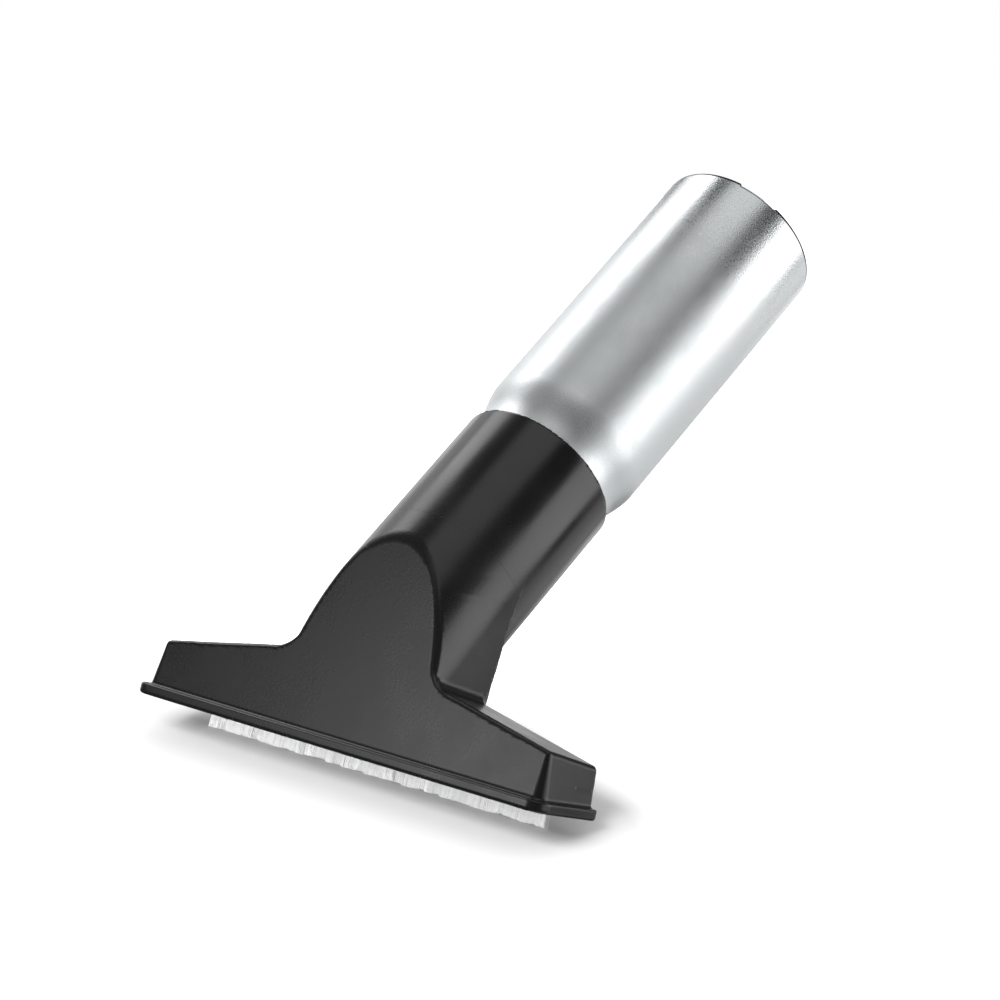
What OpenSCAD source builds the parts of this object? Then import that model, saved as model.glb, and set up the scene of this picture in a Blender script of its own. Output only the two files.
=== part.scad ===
// Vacuum surface brush: a moulded nozzle on a swaged steel connector sleeve, with one row of bristles.
// Millimetres. +X is the width, +Y the back, +Z up from the mouth plane. The origin is the centre of the sleeve's open end.

/* [Connector sleeve] */
// Outside diameter of the straight part
sleeve_d = 42; // [41.6:0.1:43]
// Sheet thickness
sleeve_wall = 1; // [0.8:0.1:1.2]
// Length that shows above the collar
sleeve_show = 91.4; // [80:0.2:105]
// Outside diameter of the swaged neck
neck_d = 38; // [37:0.1:38.4]
// Length of the neck inside the collar
plug_len = 24; // [16:0.5:28]
// Straight neck between the collar's rim and the swage
neck_show = 1.5; // [0.5:0.1:4]
// Length of the swage
swage_len = 11; // [8:0.2:16]
// Width of the notch in the open rim
notch_w = 11; // [6:0.2:14]
// Depth of the notch
notch_depth = 1.4; // [0.6:0.1:3]
// Turn of the notch about the tube, degrees from +X
notch_turn = -53; // [-90:1:-20]

/* [Collar and tube] */
// Lean of the tube from upright, degrees
tube_tilt = 40; // [38:0.5:42]
// Outside diameter of the collar and tube
tube_d = 40.8; // [40.6:0.1:41.6]
// Bore of the tube below the plug
duct_d = 36; // [34:0.1:36.4]
// Distance along the axis from the mouth plane to the collar's rim
rim_along = 95.6; // [90:0.2:100]
// Radius on the collar's rim
rim_round = 0.6; // [0.3:0.1:0.8]
// Gap around the plug, on the radius
plug_gap = 0.03; // [0.02:0.01:0.06]
// Place of the tube's axis in the mouth plane, from the front of the rim
tube_front = -8.1; // [-9:0.1:-7]

/* [Mouth rim] */
// Width of the mouth rim
rim_w = 124.8; // [118:0.2:132]
// Depth of the mouth rim, front to back
rim_depth = 23.4; // [22.6:0.1:25]
// Height of the mouth rim
rim_h = 2.6; // [2:0.1:3.2]
// Corner radius at the front
rim_corner = 4.5; // [3:0.1:6]
// Corner radius at the back
rim_corner_back = 2; // [1:0.1:3]

/* [Nozzle body] */
// Step from the rim's end in to the body
step_side = 1.8; // [1:0.1:3]
// Step from the rim's front in to the body
step_front = 2.4; // [1.5:0.1:3]
// Step from the rim's back in to the body
step_back = 0.6; // [0.3:0.1:1.2]
// Height of the wings at their ends
wing_h = 13.8; // [12.6:0.1:15]
// Rise of the wing tops towards the neck, mm per mm
wing_rise = 0.19; // [0.17:0.005:0.21]
// Draft of the end walls, mm per mm
end_draft = 0.16; // [0.08:0.005:0.18]
// Lean of the front panel, degrees
front_lean = 7.5; // [6:0.1:9]
// Lean of the back panel, degrees
back_lean = 5.3; // [4.5:0.1:7]
// Fall of the wing tops towards the back, degrees
top_fall = 5.9; // [4:0.1:7]
// Corner radius of the body at the mouth rim
body_corner = 3; // [2:0.1:4]
// Radius between neck and wing
neck_fillet = 3; // [2:0.1:4.5]
// Wall of the panels
panel_wall = 2; // [1.6:0.1:2.4]

/* [Neck cheeks] */
// Half width of the cheeks where the tube's sides run into them
cheek_half = 20.2; // [20:0.1:20.4]
// Height of that place above the mouth plane
cheek_top = 42; // [36:0.5:44]
// Draft of the cheeks, mm per mm
cheek_draft = 0.08; // [0.04:0.005:0.12]
// Lean of the neck's back, degrees
neck_back_lean = 11.5; // [10:0.5:14]

/* [Brush strip] */
// Length of the bristle row
row_len = 103.4; // [96:0.2:108]
// Thickness of the bristle row
row_t = 2; // [1.6:0.1:2.4]
// Reach of the bristles below the mouth plane
row_reach = 4.6; // [3:0.1:7]
// Depth of the roots inside the rail
root_depth = 2.2; // [1.6:0.1:3]
// Thickness of the rail
rail_t = 3.4; // [3:0.1:3.8]
// Height of the rail
rail_h = 4.4; // [4:0.1:5]
// Height of the rail's foot above the mouth plane
rail_foot = 0.6; // [0.3:0.1:1]
// Wall in front of the rail
seat_wall = 1.6; // [1.4:0.1:2]

/* [Hidden] */
$fn = 96;
big = 200;
sleeve_r = sleeve_d / 2;
neck_r = neck_d / 2;
tube_r = tube_d / 2;
duct_r = duct_d / 2;
mouth_along = rim_along + sleeve_show;
plug_along = rim_along - plug_len;
swage_along = rim_along + neck_show;
sock_y = tube_front + mouth_along * sin(tube_tilt);
sock_z = mouth_along * cos(tube_tilt);
// The body at the top of the mouth rim
body_half = rim_w / 2 - step_side;
body_front = step_front;
body_back = rim_depth - step_back;
// The outline lies in a plane tipped back by top_fall; w_* are heights in it
w_end = wing_h * cos(top_fall) + (body_front + (wing_h - rim_h) * tan(front_lean)) * sin(top_fall);
end_half = body_half - end_draft * (wing_h - rim_h);
neck_x = 20.2;
neck_in = 0.22;
w_top = 30.5;
rise_len = sqrt(1 + wing_rise * wing_rise);
fil_x = neck_x + neck_fillet;
fil_w = w_end + wing_rise * (end_half - fil_x) + neck_fillet * rise_len;
// Neck block
cheek_base = cheek_half + cheek_draft * (cheek_top - rim_h);
cheek_ahead = 5;
// Strip
strip_y = body_back - panel_wall - (rim_h - rail_foot) * tan(back_lean) - rail_t / 2;
seat_front = strip_y - rail_t / 2 - seat_wall;
seat_top = rail_foot + rail_h + 1.6;
rail_len = row_len + 3;

// Moves from the mouth's frame, with the rim's front at y = 0, to the sleeve's open end
module at_socket() {
    translate([0, -sock_y, -sock_z])
        children();
}

module on_tube() {
    translate([0, tube_front, 0])
        rotate([-tube_tilt, 0, 0])
            children();
}

// Spreads an outline drawn in y and z along x
module across_x(w) {
    rotate([90, 0, 90])
        translate([0, 0, -w / 2])
            linear_extrude(height = w)
                children();
}

// Spreads an outline drawn in x and w from front to back, tipped by top_fall
module front_to_back() {
    rotate([90 - top_fall, 0, 0])
        translate([0, 0, -big / 2])
            linear_extrude(height = big)
                children();
}

// A plan outline with its own corner radii at the front and the back
module rounded_plan(half, y0, y1, rf, rb) {
    n = 6;
    right = concat(
        [for (i = [0:n]) [half - rf + rf * sin(90 * i / n), y0 + rf - rf * cos(90 * i / n)]],
        [for (i = [0:n]) [half - rb + rb * cos(90 * i / n), y1 - rb + rb * sin(90 * i / n)]]
    );
    left = [for (i = [len(right) - 1:-1:0]) [-right[i][0], right[i][1]]];
    polygon(concat(right, left));
}

function swage_r(k) = neck_r + (sleeve_r - neck_r) * (1 - cos(180 * k)) / 2;

module connector_sleeve() {
    steps = 8;
    outer = [for (i = [0:steps]) [swage_r(i / steps), swage_along + swage_len * i / steps]];
    inner = [for (i = [steps:-1:0]) [swage_r(i / steps) - sleeve_wall, swage_along + swage_len * i / steps]];
    color([0.75, 0.76, 0.77])
        on_tube()
            difference() {
                rotate_extrude()
                    polygon(concat(
                        [[neck_r - sleeve_wall, plug_along], [neck_r, plug_along]],
                        outer,
                        [[sleeve_r, mouth_along - 0.3], [sleeve_r - 0.3, mouth_along]],
                        [[sleeve_r - sleeve_wall, mouth_along]],
                        inner
                    ));
                rotate([0, 0, notch_turn])
                    translate([sleeve_r - 4, -notch_w / 2, mouth_along - notch_depth])
                        cube([8, notch_w, notch_depth + 2]);
            }
}

module tube_outer() {
    on_tube()
        rotate_extrude()
            polygon([
                [0, -40],
                [tube_r, -40],
                [tube_r, rim_along - rim_round],
                [tube_r - 0.13 * rim_round, rim_along - 0.5 * rim_round],
                [tube_r - 0.5 * rim_round, rim_along - 0.13 * rim_round],
                [tube_r - rim_round, rim_along],
                [0, rim_along]
            ]);
}

// Everything in front of the back panel's plane, moved forward by inset
module ahead_of_back(inset, low, high) {
    b = body_back - inset;
    across_x(big)
        polygon([
            [-30, low],
            [b + (low - rim_h) * tan(back_lean), low],
            [b + (high - rim_h) * tan(back_lean), high],
            [-30, high]
        ]);
}

// Everything behind the front panel's plane, moved back by inset
module behind_front(inset, low) {
    f = body_front + inset;
    across_x(big)
        polygon([
            [f + (low - rim_h) * tan(front_lean), low],
            [f + (160 - rim_h) * tan(front_lean), 160],
            [160, 160],
            [160, low]
        ]);
}

module wing_outline() {
    right = [
        [end_half + end_draft * w_end, 0],
        [end_half, w_end],
        [fil_x - neck_fillet * wing_rise / rise_len, fil_w - neck_fillet / rise_len],
        [fil_x, fil_w],
        [neck_x, fil_w],
        [neck_x - neck_in * (w_top - fil_w), w_top]
    ];
    left = [for (i = [len(right) - 1:-1:0]) [-right[i][0], right[i][1]]];
    difference() {
        polygon(concat(right, left));
        for (s = [-1, 1])
            translate([s * fil_x, fil_w])
                circle(r = neck_fillet);
    }
}

module wings() {
    intersection() {
        front_to_back()
            wing_outline();
        ahead_of_back(0, 0, 60);
        linear_extrude(height = 60)
            rounded_plan(body_half, body_front - 0.3, 40, body_corner, 1);
    }
}

// The flat cheeks that carry the tube's sides down into the wings
module neck_block() {
    front = tube_front - cheek_ahead / cos(tube_tilt);
    intersection() {
        rotate([90, 0, 0])
            translate([0, 0, -big / 2])
                linear_extrude(height = big)
                    polygon([
                        [-cheek_base, rim_h / 2],
                        [cheek_base, rim_h / 2],
                        [cheek_half, cheek_top],
                        [-cheek_half, cheek_top]
                    ]);
        across_x(60)
            polygon([
                [front + rim_h / 2 * tan(tube_tilt), rim_h / 2],
                [body_back - rim_h / 2 * tan(neck_back_lean), rim_h / 2],
                [body_back + (cheek_top - rim_h) * tan(neck_back_lean), cheek_top],
                [front + cheek_top * tan(tube_tilt), cheek_top]
            ]);
    }
}

module mouth_rim() {
    linear_extrude(height = rim_h)
        rounded_plan(rim_w / 2, 0, rim_depth, rim_corner, rim_corner_back);
}

module cavity() {
    drop = panel_wall * rise_len;
    intersection() {
        union() {
            intersection() {
                front_to_back()
                    polygon([
                        [-end_half - end_draft * (w_end + 5) + panel_wall, -5],
                        [end_half + end_draft * (w_end + 5) - panel_wall, -5],
                        [end_half - panel_wall, w_end - drop + wing_rise * panel_wall],
                        [16, w_end - drop + wing_rise * (end_half - 16)],
                        [-16, w_end - drop + wing_rise * (end_half - 16)],
                        [-end_half + panel_wall, w_end - drop + wing_rise * panel_wall]
                    ]);
                ahead_of_back(panel_wall, -2, 60);
            }
            on_tube()
                rotate_extrude()
                    polygon([
                        [0, -40],
                        [duct_r, -40],
                        [duct_r, plug_along],
                        [neck_r + plug_gap, plug_along],
                        [neck_r + plug_gap, rim_along + 5],
                        [0, rim_along + 5]
                    ]);
        }
        behind_front(panel_wall, -2);
    }
}

// Holds the rail against the back wall
module strip_seat() {
    translate([-body_half + panel_wall / 2, seat_front, 0])
        cube([2 * body_half - panel_wall, body_back - panel_wall / 2 - seat_front, seat_top]);
}

module rail_channel() {
    translate([-rail_len / 2, strip_y - rail_t / 2, -1])
        cube([rail_len, rail_t, rail_foot + rail_h + 1]);
}

module shell() {
    difference() {
        union() {
            intersection() {
                union() {
                    tube_outer();
                    neck_block();
                    wings();
                }
                behind_front(0, 0);
            }
            mouth_rim();
        }
        cavity();
    }
}

module nozzle_body() {
    color([0.05, 0.05, 0.055])
        difference() {
            union() {
                shell();
                strip_seat();
            }
            rail_channel();
        }
}

module strip_rail() {
    color([0.2, 0.2, 0.21])
        difference() {
            translate([-rail_len / 2, strip_y - rail_t / 2, rail_foot])
                cube([rail_len, rail_t, rail_h]);
            translate([-row_len / 2, strip_y - row_t / 2, rail_foot - 1])
                cube([row_len, row_t, root_depth + 1]);
        }
}

module bristle_row() {
    color([0.93, 0.93, 0.92])
        translate([-row_len / 2, strip_y - row_t / 2, -row_reach])
            cube([row_len, row_t, row_reach + rail_foot + root_depth]);
}

at_socket() connector_sleeve();
at_socket() nozzle_body();
at_socket() strip_rail();
at_socket() bristle_row();
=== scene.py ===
"""A brush nozzle for a suction hose: a black moulding on a zinc-plated steel sleeve, with one row of nylon bristles.

Metres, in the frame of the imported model: +X is the width, +Y the back, +Z up, and the origin is the centre of the
sleeve's open end.
"""
import math

import bpy
import numpy as np
from mathutils import Matrix, Vector


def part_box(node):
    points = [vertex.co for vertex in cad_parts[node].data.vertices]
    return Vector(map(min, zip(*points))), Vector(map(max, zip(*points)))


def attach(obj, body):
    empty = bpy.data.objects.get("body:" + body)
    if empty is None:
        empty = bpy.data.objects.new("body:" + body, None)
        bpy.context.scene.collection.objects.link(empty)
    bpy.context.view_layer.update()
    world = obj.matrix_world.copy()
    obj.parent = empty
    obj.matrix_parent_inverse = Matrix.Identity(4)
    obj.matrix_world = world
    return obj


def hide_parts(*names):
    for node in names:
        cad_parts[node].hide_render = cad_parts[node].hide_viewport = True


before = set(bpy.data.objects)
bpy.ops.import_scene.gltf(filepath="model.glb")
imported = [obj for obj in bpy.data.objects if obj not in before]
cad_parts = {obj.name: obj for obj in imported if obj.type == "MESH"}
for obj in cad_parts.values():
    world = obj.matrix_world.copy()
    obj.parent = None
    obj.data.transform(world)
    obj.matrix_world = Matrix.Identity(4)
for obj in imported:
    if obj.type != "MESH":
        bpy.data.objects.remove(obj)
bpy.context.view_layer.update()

# Connector sleeve
# A drawn steel tube with a satin zinc plate, 1 mm thick. Its lower end is swaged down to a
# neck that is pushed into the nozzle's collar, and its open rim has one shallow notch.
mm = 0.001
sleeve_low, sleeve_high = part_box("connector_sleeve")
sleeve_radius = sleeve_high.x / mm
sleeve_wall = 1.0
sleeve_neck_radius = 19.0
sleeve_length = 115.4
swage_top = 78.9
swage_length = 11.0
rim_edge_radius = 0.8
notch_turn = math.radians(-53)
notch_width = 11.0
notch_depth = 0.6
notch_corner = 0.4
tube_lean = math.radians(40)
tube_up = np.array([0, math.sin(tube_lean), math.cos(tube_lean)])
tube_back = np.array([0, math.cos(tube_lean), -math.sin(tube_lean)])
tube_right = np.array([1.0, 0, 0])
zinc_colour = (0.80, 0.83, 0.84, 1)


def smooth_step(value, start, end):
    """0 before start, 1 after end, with a soft rise between them."""
    part = np.clip((value - start) / (end - start), 0, 1)
    return part * part * (3 - 2 * part)


def make_piece(name, points, faces, slot, node):
    """A smooth mesh piece in the frame, from points in metres, that stands for one node of the model."""
    mesh = bpy.data.meshes.new(name)
    mesh.from_pydata(np.asarray(points).tolist(), [], np.asarray(faces).tolist())
    mesh.validate()
    mesh.shade_smooth()
    piece = bpy.data.objects.new(name, mesh)
    bpy.context.scene.collection.objects.link(piece)
    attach(piece, "root")
    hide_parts(node)
    return piece


def make_material(name, colour, metallic, roughness):
    """A material with its node tree and its shader's node."""
    material = bpy.data.materials.new(name)
    material.use_nodes = True
    tree = material.node_tree
    shader = tree.nodes["Principled BSDF"]
    shader.inputs["Base Color"].default_value = colour
    shader.inputs["Metallic"].default_value = metallic
    shader.inputs["Roughness"].default_value = roughness
    return material, tree, shader


def add_noise(tree, scale, detail, stretch=(1, 1, 1)):
    """A noise over the piece's own metres, so that it keeps its real size on every piece."""
    place = tree.nodes.new("ShaderNodeTexCoord")
    mapping = tree.nodes.new("ShaderNodeMapping")
    mapping.inputs["Scale"].default_value = stretch
    noise = tree.nodes.new("ShaderNodeTexNoise")
    noise.inputs["Scale"].default_value = scale
    noise.inputs["Detail"].default_value = detail
    tree.links.new(place.outputs["Object"], mapping.inputs["Vector"])
    tree.links.new(mapping.outputs["Vector"], noise.inputs["Vector"])
    return noise.outputs["Fac"]


def add_range(tree, value, low, high, start=0.3, end=0.7):
    """Maps a noise to a range."""
    ramp = tree.nodes.new("ShaderNodeMapRange")
    ramp.inputs["From Min"].default_value = start
    ramp.inputs["From Max"].default_value = end
    ramp.inputs["To Min"].default_value = low
    ramp.inputs["To Max"].default_value = high
    tree.links.new(value, ramp.inputs["Value"])
    return ramp.outputs["Result"]


def add_bump(tree, height, depth, under=None):
    """A bump of that depth in metres, over another bump."""
    bump = tree.nodes.new("ShaderNodeBump")
    bump.inputs["Distance"].default_value = depth
    tree.links.new(height, bump.inputs["Height"])
    if under is not None:
        tree.links.new(under, bump.inputs["Normal"])
    return bump.outputs["Normal"]


def along_tube(tree):
    """How far up the tube a point is, in metres, 0 at the open rim and less below it."""
    place = tree.nodes.new("ShaderNodeTexCoord")
    along = tree.nodes.new("ShaderNodeVectorMath")
    along.operation = "DOT_PRODUCT"
    along.inputs[1].default_value = tube_up
    tree.links.new(place.outputs["Object"], along.inputs[0])
    return along.outputs["Value"]


def subtract(tree, value, less):
    """One value less another."""
    node = tree.nodes.new("ShaderNodeMath")
    node.operation = "SUBTRACT"
    tree.links.new(value, node.inputs[0])
    tree.links.new(less, node.inputs[1])
    return node.outputs[0]


def sleeve_outer_radius(depth):
    """Outside radius at a depth below the open rim."""
    part = np.clip((depth - swage_top) / swage_length, 0, 1)
    return sleeve_radius - (sleeve_radius - sleeve_neck_radius) * (1 - math.cos(math.pi * part)) / 2


def sleeve_profile():
    """The wall's outline as radius and depth, from the outside of the plug round the open rim to the inside."""
    edge = np.radians(np.linspace(0, 90, 5))
    inner_edge = 0.2
    straight = np.linspace(swage_top, 2, 16)
    swage = np.linspace(swage_top + swage_length, swage_top, 29)[:-1]
    plug = np.array([sleeve_length, sleeve_length - 4, swage_top + swage_length + 0.8])
    depths = np.concatenate([plug, swage, straight, [1.3, rim_edge_radius + 0.05]])
    outer = [(sleeve_outer_radius(d), d) for d in depths]
    rim = [
        (sleeve_radius - rim_edge_radius * (1 - math.cos(a)), rim_edge_radius * (1 - math.sin(a)))
        for a in edge
    ]
    lip = [
        (sleeve_radius - sleeve_wall + inner_edge * (1 - math.sin(a)), inner_edge * (1 - math.cos(a)))
        for a in edge
    ]
    inner = [(radius - sleeve_wall, depth) for radius, depth in outer[::-1]]
    return outer + rim + lip + inner


def sleeve_turns():
    """Angles of the lengthwise edges, closer together at the notch's two shoulders."""
    even = np.linspace(-math.pi, math.pi, 192, endpoint=False)
    half = notch_width / 2 / sleeve_radius
    shoulder = np.linspace(-0.8, 0.8, 9) * notch_corner / sleeve_radius
    close = np.concatenate([notch_turn - half + shoulder, notch_turn + half + shoulder])
    kept = even[np.abs(even[:, None] - close).min(axis=1) > 0.006]
    return np.sort(np.concatenate([kept, close]))


def sleeve_mesh():
    profile = np.array(sleeve_profile())
    turns = sleeve_turns()
    across = np.abs(turns - notch_turn) * sleeve_radius - notch_width / 2
    cut = notch_depth * (1 - smooth_step(across, -notch_corner, notch_corner * 0.6))
    at_rim = 1 - smooth_step(profile[:, 1], 0.8, 6)
    depth = profile[None, :, 1] + cut[:, None] * at_rim[None, :]
    radius = np.broadcast_to(profile[None, :, 0], depth.shape)
    sideways = np.cos(turns)[:, None, None] * tube_right + np.sin(turns)[:, None, None] * tube_back
    points = (radius[..., None] * sideways - depth[..., None] * tube_up) * mm
    columns, rings = depth.shape
    index = np.arange(columns * rings).reshape(columns, rings)
    here, beyond = index, np.roll(index, -1, axis=0)
    quads = np.stack([here, beyond, np.roll(beyond, -1, 1), np.roll(here, -1, 1)], axis=-1)
    return points.reshape(-1, 3), quads.reshape(-1, 4)


def zinc_plate():
    """Satin zinc: a sparkling grain in the plate, faint clouds in its gloss, a rim that handling has polished, and a
    dark band painted on the rim's rounded edge as painted shade.
    """
    material, tree, shader = make_material("satin_zinc_plate", zinc_colour, 1.0, 0.3)
    clouds = add_noise(tree, 150, 3.0)
    grain = add_noise(tree, 2900, 1.0)
    rough = add_range(tree, clouds, 0.43, 0.48)
    polish = add_range(tree, along_tube(tree), 0, 0.24, -0.040, 0)
    sparkle = add_range(tree, grain, -0.09, 0.09)
    rough = subtract(tree, subtract(tree, rough, polish), sparkle)
    tree.links.new(rough, shader.inputs["Roughness"])
    # Painted shade: a dark band painted round the rim's rounded edge stands in for the dark reflection that the
    # rounding shows.
    painted_dark_rim = tree.nodes.new("ShaderNodeValToRGB")
    painted_dark_rim.color_ramp.elements[0].color = zinc_colour
    painted_dark_rim.color_ramp.elements[1].color = (0.10, 0.10, 0.105, 1)
    tree.links.new(add_range(tree, along_tube(tree), 0, 1, -0.0011, -0.0009), painted_dark_rim.inputs["Fac"])
    tree.links.new(painted_dark_rim.outputs["Color"], shader.inputs["Base Color"])
    waves = add_noise(tree, 26, 1.0)
    normal = add_bump(tree, waves, 0.0003)
    normal = add_bump(tree, grain, 0.00004, normal)
    tree.links.new(normal, shader.inputs["Normal"])
    return material


sleeve = make_piece("steel_connector_sleeve", *sleeve_mesh(), "sleeve_steel", "connector_sleeve")
sleeve.data.materials.append(zinc_plate())

# Nozzle body
# One black injection moulding: the round collar and tube, flat front and back panels, cheeks
# at the neck's sides, two wings and the mouth rim. It is hollow, with walls of about 2 mm.
nozzle_low, nozzle_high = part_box("nozzle_body")
mouth_origin = np.array([0, nozzle_low.y, nozzle_low.z])
rim_half = nozzle_high.x / mm
rim_depth = 23.4
rim_height = 2.6
rim_corner_front = 4.5
rim_corner_back = 2.0
collar_radius = 20.4
collar_top = 95.6
collar_edge = 0.6
collar_bore = 19.03
duct_radius = 18.0
plug_end = 71.6
axis_front = -8.1
panel_wall = 2.0
body_front = 2.4
body_back = 22.8
front_slope = math.tan(math.radians(7.5))
back_slope = math.tan(math.radians(5.3))
neck_back_slope = math.tan(math.radians(11.5))
top_fall = math.radians(5.9)
wing_end_half = 58.81
wing_end_height = 14.125
wing_rise = 0.19
end_draft = 0.16
cheek_top = 39.5
cheek_blend = 4.0
cheek_draft = 0.08
seat_front = 15.61
seat_top = 6.6
rail_low, rail_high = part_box("strip_rail")
moulding_colour = (0.003, 0.003, 0.0031, 1)
parting_line = -0.1277


def round_union(a, b, radius):
    """Distance to two bodies together, with a fillet of that radius in the corner between them."""
    near = np.hypot(np.maximum(radius - a, 0), np.maximum(radius - b, 0))
    return np.maximum(radius, np.minimum(a, b)) - near


def round_cut(a, b, radius):
    """Distance to what two bodies share, with that radius on the edge between them."""
    past = np.hypot(np.maximum(radius + a, 0), np.maximum(radius + b, 0))
    return np.minimum(-radius, np.maximum(a, b)) + past


def leaning(run, slope):
    """A distance measured level, turned into the distance to a plane of that slope."""
    return run / math.hypot(1, slope)


def nozzle_distance(point):
    """Distance in mm to the moulding's skin, less than 0 in the plastic. The rim's front is y = 0, the mouth z = 0."""
    x, y, z = np.abs(point[..., 0]), point[..., 1], point[..., 2]
    along = (y - axis_front) * math.sin(tube_lean) + z * math.cos(tube_lean)
    off = (y - axis_front) * math.cos(tube_lean) - z * math.sin(tube_lean)
    from_axis = np.hypot(x, off)
    tube = round_cut(from_axis - collar_radius, along - collar_top, collar_edge)

    below_top = np.clip(cheek_top + cheek_blend - z, 0, 2 * cheek_blend) ** 2 / (4 * cheek_blend)
    below_top = np.where(z < cheek_top - cheek_blend, cheek_top - z, below_top)
    cheek_half = collar_radius + cheek_draft * below_top
    cheeks = np.hypot(x * collar_radius / cheek_half, np.minimum(off, 0)) - collar_radius
    cheek_back = leaning(y - body_back - neck_back_slope * (z - rim_height), neck_back_slope)
    cheeks = round_cut(cheeks, cheek_back, 0.3)
    cheeks = np.maximum(cheeks, z - cheek_top - 2 * cheek_blend)
    neck = round_union(tube, cheeks, np.interp(off, [0, 3, 8], [0.01, 0.2, 0.8]))

    height = z * math.cos(top_fall) + y * math.sin(top_fall)
    wing_top = leaning(height - wing_end_height - wing_rise * (wing_end_half - x), wing_rise)
    wing_end = leaning(x - wing_end_half - end_draft * (wing_end_height - height), end_draft)
    wing_back = leaning(y - body_back - back_slope * (z - rim_height), back_slope)
    wings = round_cut(wing_top, wing_end, 1.0)
    wings = round_cut(wings, wing_back, 0.8)
    body = round_union(neck, wings, np.interp(y, [4.5, 7.5], [4.5, 2.0]))

    front = leaning(body_front + front_slope * (z - rim_height) - y, front_slope)
    arch_edge = np.interp(z, [19, 23, 30, 36, 42], [1.2, 1.5, 1.5, 1.3, 1.0])
    corner_edge = np.interp(z, [rim_height, 14], [3.0, 1.0])
    body = round_cut(body, front, np.where(x > 50, corner_edge, arch_edge))

    corner = np.where(y < rim_depth / 2, rim_corner_front, rim_corner_back)
    past_x = x - rim_half + corner
    past_y = np.abs(y - rim_depth / 2) - rim_depth / 2 + corner
    plan = np.hypot(np.maximum(past_x, 0), np.maximum(past_y, 0)) + np.minimum(np.maximum(past_x, past_y), 0)
    rim = round_cut(plan - corner, z - rim_height, 0.45)
    body = round_union(body, rim, 0.7)

    hollow_top = np.maximum(wing_top, leaning(height - wing_end_height - wing_rise * (wing_end_half - 16), 0))
    hollow = np.maximum(hollow_top + panel_wall, wing_end + panel_wall)
    hollow = round_cut(hollow, wing_back + panel_wall, 1.0)
    bore = from_axis - np.where(along > plug_end, collar_bore, duct_radius)
    hollow = round_cut(round_union(hollow, bore, 1.5), front + panel_wall, 1.0)
    shell = round_cut(body, -hollow, 0.3)

    seat = np.maximum(x - rim_half + 2.8, np.abs(y - (seat_front + body_back - 1) / 2) - (body_back - 1 - seat_front) / 2)
    seat = np.maximum(seat, z - seat_top)
    shell = round_union(shell, seat, 0.3)
    groove = np.maximum(x - rail_high.x / mm, z - (rail_high.z / mm - mouth_origin[2] / mm))
    groove = np.maximum(groove, (rail_low.y - mouth_origin[1]) / mm - y)
    groove = np.maximum(groove, y - (rail_high.y - mouth_origin[1]) / mm)
    shell = np.maximum(shell, -groove)
    return round_cut(shell, -z, 0.9)


def slope_of(distance, point, step=0.01):
    """The direction in which the distance grows, which is the skin's normal."""
    sides = []
    for axis in np.eye(3) * step:
        sides.append(distance(point + axis) - distance(point - axis))
    normal = np.stack(sides, axis=-1)
    return normal / np.maximum(np.linalg.norm(normal, axis=-1, keepdims=True), 1e-9)


def grid_lines(stops):
    """Grid lines between stops of (place, spacing after it)."""
    lines = []
    for (start, step), (end, _) in zip(stops[:-1], stops[1:]):
        count = max(1, round((end - start) / step))
        lines.extend(np.linspace(start, end, count, endpoint=False))
    return np.array(lines + [stops[-1][0]])


def cast_skin(distance, lines):
    """The skin as quads: one point in each grid cell that the skin crosses, set on its edges and corners."""
    grid = np.stack(np.meshgrid(*lines, indexing="ij"), axis=-1)
    inside = distance(grid) < 0
    cells = np.array(inside.shape) - 1
    found_cells, found_quads, found_points, found_normals = [], [], [], []
    for axis in range(3):
        low = [slice(None)] * 3
        high = [slice(None)] * 3
        low[axis], high[axis] = slice(None, -1), slice(1, None)
        enters = inside[tuple(low)] != inside[tuple(high)]
        place = np.argwhere(enters)
        start, end = grid[tuple(place.T)], grid[tuple((place + np.eye(3, dtype=int)[axis]).T)]
        filled_first = inside[tuple(place.T)]
        near, far = np.zeros(len(place)), np.ones(len(place))
        for _ in range(14):
            middle = (near + far) / 2
            filled = distance(start + (end - start) * middle[:, None]) < 0
            same = filled == filled_first
            near, far = np.where(same, middle, near), np.where(same, far, middle)
        crossing = start + (end - start) * ((near + far) / 2)[:, None]
        one, two = [a for a in ((1, 2), (2, 0), (0, 1))][axis]
        around = []
        for back_one, back_two in ((1, 1), (0, 1), (0, 0), (1, 0)):
            cell = place.copy()
            cell[:, one] -= back_one
            cell[:, two] -= back_two
            around.append(np.ravel_multi_index(tuple(cell.T), cells))
        quads = np.stack(around, axis=-1)
        quads[~filled_first] = quads[~filled_first][:, ::-1]
        found_quads.append(quads)
        found_points.append(crossing)
        found_normals.append(slope_of(distance, crossing))
    quads = np.concatenate(found_quads)
    crossings = np.repeat(np.concatenate(found_points), 4, axis=0)
    normals = np.repeat(np.concatenate(found_normals), 4, axis=0)
    used, cell_of = np.unique(quads.ravel(), return_inverse=True)
    count = np.bincount(cell_of)
    centre = np.stack([np.bincount(cell_of, crossings[:, i]) for i in range(3)], axis=-1) / count[:, None]
    offset = np.einsum("ij,ij->i", normals, crossings - centre[cell_of])
    pull = np.stack([np.bincount(cell_of, normals[:, i] * offset) for i in range(3)], axis=-1)
    square = np.empty((len(used), 3, 3))
    for i in range(3):
        for j in range(3):
            square[:, i, j] = np.bincount(cell_of, normals[:, i] * normals[:, j])
    square += np.eye(3) * 0.08
    moved = np.linalg.solve(square, pull[..., None])[..., 0]
    corner = np.stack(np.unravel_index(used, cells), axis=-1)
    lowest = np.stack([lines[i][corner[:, i]] for i in range(3)], axis=-1)
    highest = np.stack([lines[i][corner[:, i] + 1] for i in range(3)], axis=-1)
    points = np.clip(centre + moved, lowest, highest)
    return points, cell_of.reshape(-1, 4)


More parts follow.
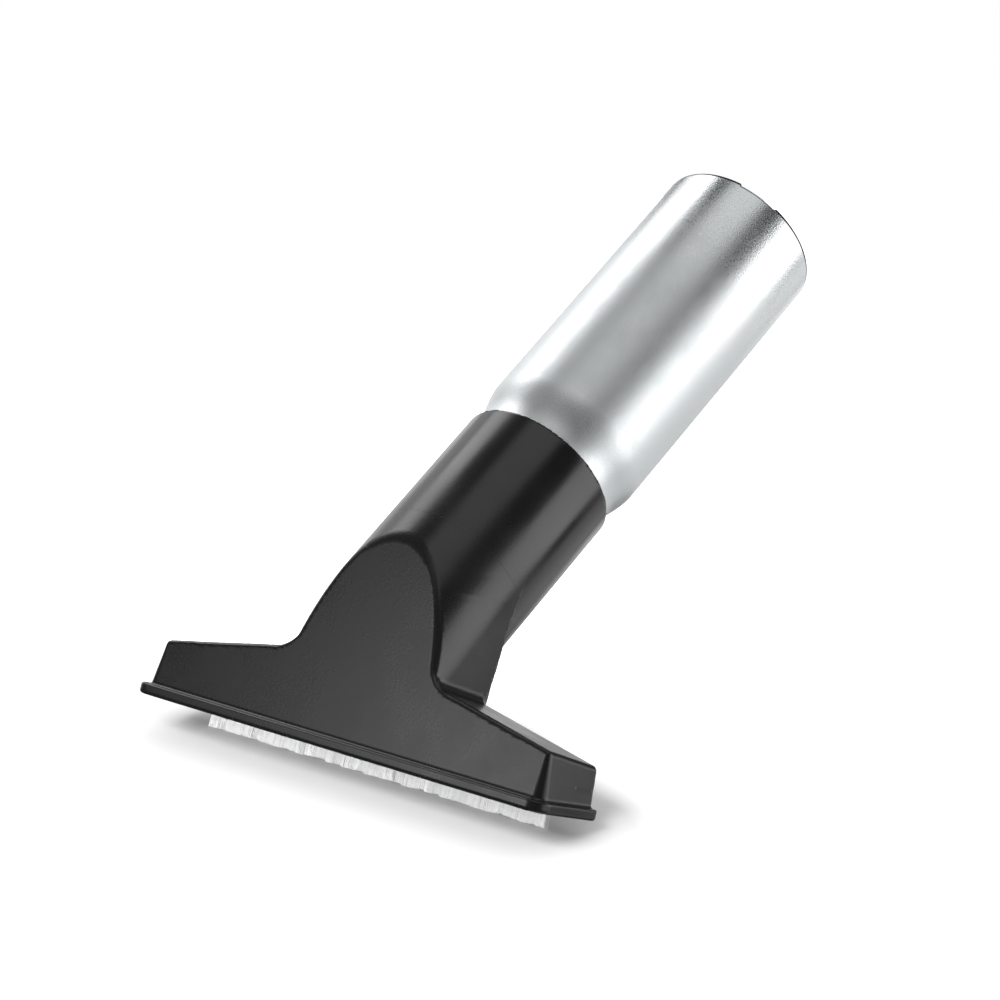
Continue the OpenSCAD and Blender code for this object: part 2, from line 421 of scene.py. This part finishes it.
def corner_normals(distance, points, quads):
    """A normal for each corner of each quad, read a little inside it, so that tight edges stay tight."""
    corners = points[quads]
    middle = corners.mean(axis=1, keepdims=True)
    return slope_of(distance, corners * 0.8 + middle * 0.2).reshape(-1, 3)


def moulded_plastic():
    """Satin black plastic with the mould's fine texture, faint flow marks and a parting line round the tube."""
    material, tree, shader = make_material("satin_black_moulding", moulding_colour, 0.0, 0.3)
    shader.inputs["IOR"].default_value = 1.6
    flow = add_noise(tree, 60, 3.0)
    rough = add_range(tree, flow, 0.25, 0.33)
    polish = add_range(tree, along_tube(tree), 0, 0.08, parting_line, -(sleeve_length - 16) * mm)
    texture = add_noise(tree, 1500, 2.0)
    grain = add_range(tree, texture, -0.012, 0.012)
    rough = subtract(tree, subtract(tree, rough, polish), grain)
    tree.links.new(rough, shader.inputs["Roughness"])
    from_line = tree.nodes.new("ShaderNodeMath")
    from_line.operation = "COMPARE"
    from_line.inputs[1].default_value = parting_line
    from_line.inputs[2].default_value = 0.00015
    tree.links.new(along_tube(tree), from_line.inputs[0])
    normal = add_bump(tree, texture, 0.000012)
    normal = add_bump(tree, from_line.outputs[0], 0.00008, normal)
    tree.links.new(normal, shader.inputs["Normal"])
    return material


nozzle_grid = (
    grid_lines([(-63.1, 0.5), (-57, 1.25), (-25, 0.68), (25, 1.25), (57, 0.5), (63.1, 1)]),
    grid_lines([(-0.6, 0.55), (5, 0.75), (21, 0.6), (25, 0.75), (70, 1)]),
    grid_lines([(-0.5, 0.4), (3.3, 0.7), (87.3, 1)]),
)
skin_points, skin_quads = cast_skin(nozzle_distance, nozzle_grid)
nozzle = make_piece(
    "moulded_nozzle_body", mouth_origin + skin_points * mm, skin_quads, "nozzle_plastic", "nozzle_body"
)
nozzle.data.normals_split_custom_set(corner_normals(nozzle_distance, skin_points, skin_quads))
nozzle.data.materials.append(moulded_plastic())

# Strip rail
# An extruded rail that is pressed into its seat in the mouth and grips the bristles' roots.
# The model's own solid has its true form, so it stays and gets its finish here.


def rail_plastic():
    """Plain grey extruded plastic with lengthwise drag marks."""
    material, tree, shader = make_material("extruded_rail_plastic", (0.06, 0.06, 0.062, 1), 0.0, 0.5)
    drag = add_noise(tree, 900, 2.0, (0.02, 1, 1))
    tree.links.new(add_range(tree, drag, 0.42, 0.58), shader.inputs["Roughness"])
    tree.links.new(add_bump(tree, drag, 0.00004), shader.inputs["Normal"])
    return material


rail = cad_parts["strip_rail"]
rail.data.materials.clear()
rail.data.materials.append(rail_plastic())

# Bristle row
# One straight row of white nylon filaments, folded into the rail in close tufts and cut to
# length, so that their ends are a little ragged.
row_low, row_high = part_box("bristle_row")
filament_radius = 0.10
tuft_pitch = 2.35
tuft_count = 44
tuft_columns = 12
tuft_rows = 8
cut_spread = 0.14
row_random = np.random.default_rng(7)


def bristle_mesh():
    """Every filament as a four-sided strand of three lengths with a closed end."""
    low = np.array(row_low) / mm
    high = np.array(row_high) / mm
    length = high[0] - low[0]
    middle_y = (low[1] + high[1]) / 2
    pitch = length / tuft_count
    points, faces = [], []
    corner = np.radians([45, 135, 225, 315])
    ring = np.stack([np.cos(corner), np.sin(corner), np.zeros(4)], axis=-1) * filament_radius
    for tuft in range(tuft_count):
        tuft_x = low[0] + pitch * (tuft + 0.5)
        tuft_cut = abs(row_random.normal(0, 0.22))
        tuft_lean = row_random.normal(0, 0.16)
        for strand in range(tuft_columns * tuft_rows):
            column, row = divmod(strand, tuft_rows)
            side = (column + 0.5 + row_random.uniform(-0.3, 0.3)) / tuft_columns - 0.5
            depth = (row + 0.5 + row_random.uniform(-0.2, 0.2)) / tuft_rows - 0.5
            root = np.array([tuft_x + side * pitch * 0.97, middle_y + depth * 1.5, high[2] - 0.15])
            reach = high[2] - low[2] - 0.15 - tuft_cut - abs(row_random.normal(0, cut_spread))
            spread = np.array([side * 0.15 + tuft_lean, depth * 0.4, 0])
            bend = row_random.normal(0, 0.02, 3) * (1, 1, 0)
            rows = []
            for part in (0, 0.4, 0.75, 1):
                rows.append(root - (0, 0, reach * part) + (spread + bend) * part ** 2)
            first = len(points)
            for row in rows:
                points.extend(ring + row)
            for level in range(3):
                for side_face in range(4):
                    a = first + level * 4 + side_face
                    b = first + level * 4 + (side_face + 1) % 4
                    faces.append((a, a + 4, b + 4, b))
            faces.append((first + 12, first + 15, first + 14, first + 13))
            faces.append((first, first + 1, first + 2, first + 3))
    points = np.array(points)
    points[:, 0] = np.clip(points[:, 0], low[0] - 0.25, high[0] + 0.25)
    return points * mm, faces


def nylon():
    """White nylon: milky, with each filament's own shade."""
    material, tree, shader = make_material("white_nylon", (0.9, 0.905, 0.9, 1), 0.0, 0.38)
    shade = add_noise(tree, 700, 3.0, (1, 1, 0.05))
    tree.links.new(add_range(tree, shade, 0.3, 0.5), shader.inputs["Roughness"])
    tone = tree.nodes.new("ShaderNodeValToRGB")
    tone.color_ramp.elements[0].color = (0.76, 0.765, 0.76, 1)
    tone.color_ramp.elements[1].color = (0.92, 0.925, 0.92, 1)
    tree.links.new(add_range(tree, shade, 0, 1), tone.inputs["Fac"])
    tree.links.new(tone.outputs["Color"], shader.inputs["Base Color"])
    return material


bristles = make_piece("nylon_bristle_row", *bristle_mesh(), "bristle_nylon", "bristle_row")
bristles.data.materials.append(nylon())

# Floor
# A plain white table top under the bristles' tips. The brush leans back on it, as in the
# photograph, so the table is tilted in the brush's own frame. It isn't part of the object.
floor_height = row_low.z - 0.0005
floor_tilt = math.radians(22)
floor_radius = 0.6


def table_top():
    """White paper that burns out to full white away from the brush, and is clear from below, so it hides nothing."""
    material, tree, shader = make_material("white_paper", (0.80, 0.80, 0.80, 1), 0.0, 0.9)
    shader.inputs["Specular IOR Level"].default_value = 0.0
    place = tree.nodes.new("ShaderNodeTexCoord")
    oval = tree.nodes.new("ShaderNodeMapping")
    oval.inputs["Scale"].default_value = (1, 2.3, 1)
    tree.links.new(place.outputs["Object"], oval.inputs["Vector"])
    reach = tree.nodes.new("ShaderNodeVectorMath")
    reach.operation = "LENGTH"
    tree.links.new(oval.outputs["Vector"], reach.inputs[0])
    burn = add_range(tree, reach.outputs["Value"], 0.0, 1.2, 0.075, 0.16)
    path = tree.nodes.new("ShaderNodeLightPath")
    seen = tree.nodes.new("ShaderNodeMath")
    seen.operation = "MULTIPLY"
    tree.links.new(path.outputs["Is Camera Ray"], seen.inputs[0])
    tree.links.new(burn, seen.inputs[1])
    shader.inputs["Emission Color"].default_value = (1, 1, 1, 1)
    tree.links.new(seen.outputs[0], shader.inputs["Emission Strength"])
    side = tree.nodes.new("ShaderNodeNewGeometry")
    clear = tree.nodes.new("ShaderNodeBsdfTransparent")
    sheet = tree.nodes.new("ShaderNodeMixShader")
    tree.links.new(side.outputs["Backfacing"], sheet.inputs[0])
    tree.links.new(shader.outputs[0], sheet.inputs[1])
    tree.links.new(clear.outputs[0], sheet.inputs[2])
    tree.links.new(sheet.outputs[0], tree.nodes["Material Output"].inputs["Surface"])
    return material


turns = np.linspace(0, 2 * math.pi, 96, endpoint=False)
floor_edge = np.stack([np.cos(turns), np.sin(turns), np.zeros(96)], axis=-1) * floor_radius
floor_mesh = bpy.data.meshes.new("table_top")
floor_mesh.from_pydata(floor_edge.tolist(), [], [list(range(96))])
floor = bpy.data.objects.new("table_top", floor_mesh)
floor.location = (0, (row_low.y + row_high.y) / 2, floor_height)
floor.rotation_euler = (floor_tilt, 0, 0)
floor.visible_glossy = False
bpy.context.scene.collection.objects.link(floor)
floor.data.materials.append(table_top())

# Camera
# Level with the brush, seen from the front and right, and rolled, as in the photograph.
camera_turn = 0.6485
camera_rise = 0.0035
camera_roll = 0.239
camera_place = (0.576192, -0.830653, -0.074732)
focal_pixels = 4001
picture_pixels = 1000
back = Vector((
    math.sin(camera_turn) * math.cos(camera_rise),
    -math.cos(camera_turn) * math.cos(camera_rise),
    math.sin(camera_rise),
))
level = Vector((math.cos(camera_turn), math.sin(camera_turn), 0))
upright = back.cross(level)
right = math.cos(camera_roll) * level + math.sin(camera_roll) * upright
up = -math.sin(camera_roll) * level + math.cos(camera_roll) * upright
camera = bpy.data.objects.new("camera", bpy.data.cameras.new("camera"))
camera.data.sensor_width = 36
camera.data.lens = 36 * focal_pixels / picture_pixels
camera.matrix_world = Matrix.Translation(camera_place) @ Matrix((right, up, back)).transposed().to_4x4()
bpy.context.scene.collection.objects.link(camera)
bpy.context.scene.camera = camera

# Studio light
# Soft boxes and cards round the brush. The dark room round the camera keeps the plastic black.
aim = Vector((0, -0.055, -0.07))


def mirrored_from(turn):
    """The direction that the tube mirrors to the camera along one of its lengthwise lines."""
    turn = math.radians(turn)
    lengthwise = back.dot(tube_up)
    across = math.sqrt(1 - lengthwise ** 2)
    ring = math.cos(turn) * tube_right + math.sin(turn) * tube_back
    return Vector(-lengthwise * tube_up + across * ring)


def soft_box(name, direction, distance, width, length, brightness, edge, lengthwise=(0, 0, 1)):
    """A lit screen that faces the brush, with its length along a given line, and fades towards its edges."""
    outward = Vector(direction).normalized()
    along = Vector(lengthwise)
    along = (along - outward * along.dot(outward)).normalized()
    mesh = bpy.data.meshes.new(name)
    corners = [(-1, -1), (1, -1), (1, 1), (-1, 1)]
    mesh.from_pydata([(x * width / 2, y * length / 2, 0) for x, y in corners], [], [(0, 1, 2, 3)])
    screen = bpy.data.objects.new(name, mesh)
    bpy.context.scene.collection.objects.link(screen)
    turned = Matrix((along.cross(outward), along, outward)).transposed().to_4x4()
    screen.matrix_world = Matrix.Translation(aim + outward * distance) @ turned
    screen.visible_camera = False
    screen.visible_diffuse = False
    screen.visible_shadow = False
    material = bpy.data.materials.new(name)
    material.use_nodes = True
    tree = material.node_tree
    tree.nodes.clear()
    place = tree.nodes.new("ShaderNodeTexCoord")
    split = tree.nodes.new("ShaderNodeSeparateXYZ")
    tree.links.new(place.outputs["Object"], split.inputs[0])
    fades = []
    for axis, half in ((0, width / 2), (1, length / 2)):
        out_from = tree.nodes.new("ShaderNodeMath")
        out_from.operation = "ABSOLUTE"
        tree.links.new(split.outputs[axis], out_from.inputs[0])
        fade = tree.nodes.new("ShaderNodeMapRange")
        fade.interpolation_type = "SMOOTHSTEP"
        fade.inputs["From Min"].default_value = half
        fade.inputs["From Max"].default_value = half * (1 - edge)
        tree.links.new(out_from.outputs[0], fade.inputs["Value"])
        fades.append(fade.outputs["Result"])
    both = tree.nodes.new("ShaderNodeMath")
    both.operation = "MULTIPLY"
    tree.links.new(fades[0], both.inputs[0])
    tree.links.new(fades[1], both.inputs[1])
    strength = tree.nodes.new("ShaderNodeMath")
    strength.operation = "MULTIPLY"
    strength.inputs[1].default_value = brightness
    tree.links.new(both.outputs[0], strength.inputs[0])
    glow = tree.nodes.new("ShaderNodeEmission")
    tree.links.new(strength.outputs[0], glow.inputs["Strength"])
    out = tree.nodes.new("ShaderNodeOutputMaterial")
    tree.links.new(glow.outputs[0], out.inputs["Surface"])
    mesh.materials.append(material)
    return screen


soft_box("left_box", mirrored_from(-145), 0.55, 0.30, 0.5, 2.8, 0.4, tube_up)
soft_box("left_edge_card", mirrored_from(-170), 0.60, 0.24, 0.5, 1.0, 0.4, tube_up)
soft_box("top_box", mirrored_from(-74), 0.70, 0.70, 0.7, 0.74, 0.4, tube_up)
soft_box("right_back_box", mirrored_from(14), 0.60, 0.51, 0.6, 2.1, 0.3, tube_up)
soft_box("right_low_card", mirrored_from(68), 0.60, 0.42, 0.6, 0.8, 0.3, tube_up)
soft_box("front_left_card", (-0.39, -0.92, -0.06), 0.60, 0.30, 0.30, 3.2, 0.4)
soft_box("left_back_card", (-0.92, 0.38, 0.10), 0.75, 0.60, 0.5, 1.3, 0.3)
soft_box("back_card", (-0.25, 1.0, 0.02), 0.80, 1.0, 0.45, 1.0, 0.3)
soft_box("right_card", (1.0, 0.05, -0.05), 0.90, 0.6, 0.6, 1.3, 0.4)
soft_box("low_back_card", (0.68, 0.64, -0.50), 0.90, 0.4, 0.4, 1.2, 0.4)
soft_box("under_card", (0.10, 0.35, -0.93), 0.70, 0.6, 0.6, 1.0, 0.4, tube_up)
soft_box("front_top_card", (0.0, -0.77, 0.64), 0.80, 0.4, 0.35, 0.35, 0.4)
soft_box("end_card", tube_up, 0.90, 0.5, 0.5, 0.6, 0.4)


def soft_light(name, outward, distance, width, height, power):
    """An area light that faces the mouth and isn't mirrored, for the table's and the bristles' own light."""
    light = bpy.data.objects.new(name, bpy.data.lights.new(name, "AREA"))
    light.data.shape = "RECTANGLE"
    light.data.size = width
    light.data.size_y = height
    light.data.energy = power
    outward = Vector(outward).normalized()
    facing = outward.to_track_quat("Z", "Y").to_matrix().to_4x4()
    light.matrix_world = Matrix.Translation(floor.location + outward * distance) @ facing
    light.visible_camera = False
    light.visible_glossy = False
    bpy.context.scene.collection.objects.link(light)


soft_light("front_key", (0.05, -1, 0.4), 0.9, 0.6, 0.3, 7.5)
soft_light("low_front_fill", (-0.8, -1, -0.36), 0.45, 0.4, 0.05, 2.9)

world = bpy.data.worlds.new("white_backdrop")
bpy.context.scene.world = world
world.use_nodes = True
tree = world.node_tree
tree.nodes.clear()
path = tree.nodes.new("ShaderNodeLightPath")
shades = []
for brightness in (0.08, 0.82, 1.0):
    shade = tree.nodes.new("ShaderNodeBackground")
    shade.inputs["Color"].default_value = (1, 1, 1, 1)
    shade.inputs["Strength"].default_value = brightness
    shades.append(shade.outputs[0])
result = shades[0]
for ray, shade in (("Is Diffuse Ray", shades[1]), ("Is Camera Ray", shades[2])):
    mix = tree.nodes.new("ShaderNodeMixShader")
    tree.links.new(path.outputs[ray], mix.inputs[0])
    tree.links.new(result, mix.inputs[1])
    tree.links.new(shade, mix.inputs[2])
    result = mix.outputs[0]
world_out = tree.nodes.new("ShaderNodeOutputWorld")
tree.links.new(result, world_out.inputs["Surface"])
world.cycles.sampling_method = "NONE"
bpy.context.scene.view_settings.view_transform = "Standard"
